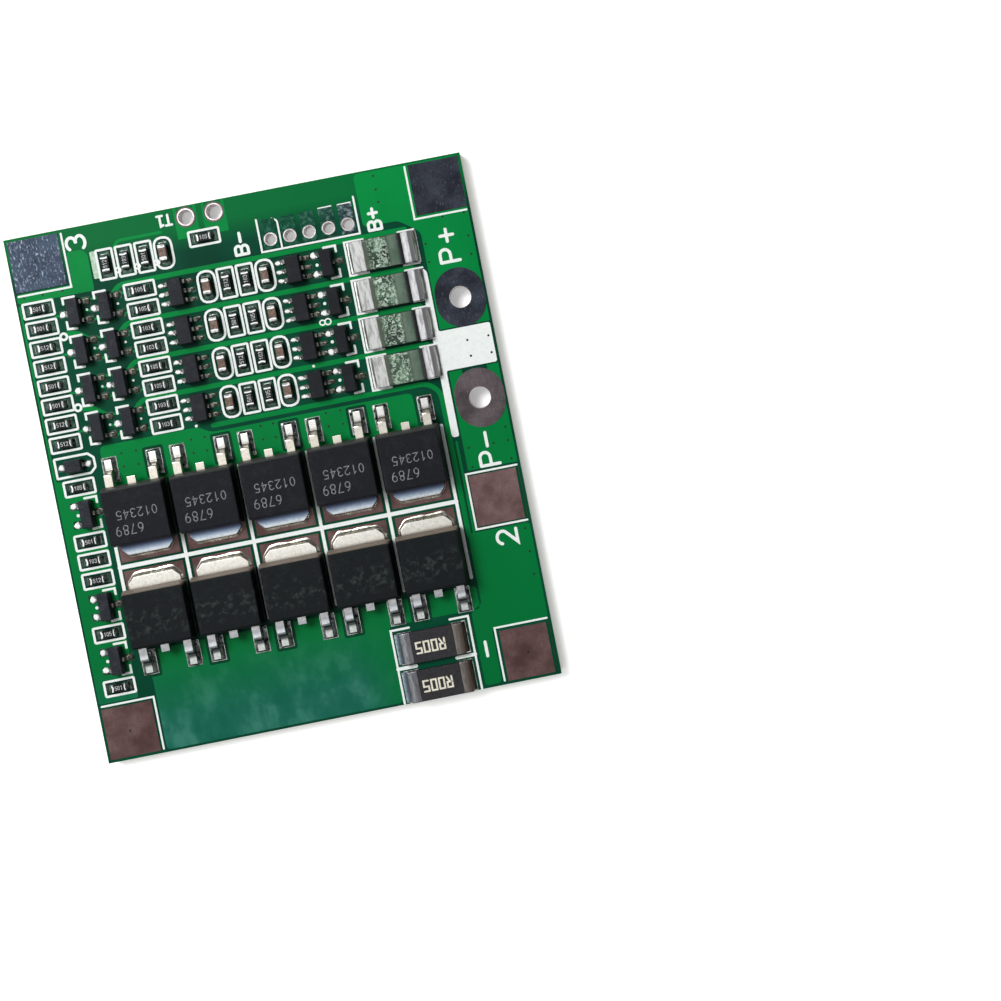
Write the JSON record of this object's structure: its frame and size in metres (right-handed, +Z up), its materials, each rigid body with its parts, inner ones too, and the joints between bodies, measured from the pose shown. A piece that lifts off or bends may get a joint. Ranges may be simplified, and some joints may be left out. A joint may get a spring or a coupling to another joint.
{
  "type": "battery management board",
  "caption": "Green circuit board for a battery pack with two facing rows of power transistors, rows of sensing and balancing chips, shunt resistors and bare lands for tabs and cables.",
  "frame": {"origin": "centre of the underside", "axes": "+X across the board towards the power holes, +Y along it towards the balance header, +Z up out of the side that carries the parts"},
  "size_m": [0.0472, 0.0544, 0.0039],
  "materials": {
    "solder_mask": "glossy green lacquer over laminate",
    "bare_copper": "satin, browned",
    "dark_copper": "satin, darkened",
    "tinned_metal": "tin plated, soldered",
    "moulding": "matte black moulding compound",
    "resistor_black": "satin black coat",
    "balance_grey": "glossy grey coat",
    "capacitor_tan": "satin tan ceramic"
  },
  "bodies": {
    "root": {"balance_resistor_1_core": "balance_grey", "balance_resistor_1_terminals": "tinned_metal", "balance_resistor_2_core": "balance_grey", "balance_resistor_2_terminals": "tinned_metal", "balance_resistor_3_core": "balance_grey", "balance_resistor_3_terminals": "tinned_metal", "balance_resistor_4_core": "balance_grey", "balance_resistor_4_terminals": "tinned_metal", "bottom_left_tab_land": "bare_copper", "bottom_right_tab_land": "bare_copper", "chip_capacitor_cores": "capacitor_tan", "chip_capacitor_terminals": "tinned_metal", "chip_resistor_cores": "resistor_black", "chip_resistor_terminals": "tinned_metal", "circuit_board": "solder_mask", "diode_case": "moulding", "diode_leads": "tinned_metal", "drain_lands": "bare_copper", "header_lands": "dark_copper", "lead_lands": "bare_copper", "left_ic_cases": "moulding", "left_ic_leads": "tinned_metal", "left_transistor_cases": "moulding", "left_transistor_leads": "tinned_metal", "lower_mosfet_1_case": "moulding", "lower_mosfet_1_leads": "tinned_metal", "lower_mosfet_2_case": "moulding", "lower_mosfet_2_leads": "tinned_metal", "lower_mosfet_3_case": "moulding", "lower_mosfet_3_leads": "tinned_metal", "lower_mosfet_4_case": "moulding", "lower_mosfet_4_leads": "tinned_metal", "lower_mosfet_5_case": "moulding", "lower_mosfet_5_leads": "tinned_metal", "middle_right_tab_land": "bare_copper", "negative_power_lands": "dark_copper", "positive_power_lands": "dark_copper", "power_chip_lands": "tinned_metal", "right_ic_cases": "moulding", "right_ic_leads": "tinned_metal", "right_transistor_cases": "moulding", "right_transistor_leads": "tinned_metal", "shunt_resistor_1_core": "resistor_black", "shunt_resistor_1_terminals": "tinned_metal", "shunt_resistor_2_core": "resistor_black", "shunt_resistor_2_terminals": "tinned_metal", "thermistor_lands": "dark_copper", "top_left_tab_land": "dark_copper", "top_right_tab_land": "dark_copper", "upper_mosfet_1_case": "moulding", "upper_mosfet_1_leads": "tinned_metal", "upper_mosfet_2_case": "moulding", "upper_mosfet_2_leads": "tinned_metal", "upper_mosfet_3_case": "moulding", "upper_mosfet_3_leads": "tinned_metal", "upper_mosfet_4_case": "moulding", "upper_mosfet_4_leads": "tinned_metal", "upper_mosfet_5_case": "moulding", "upper_mosfet_5_leads": "tinned_metal"}
  },
  "joints": []
}
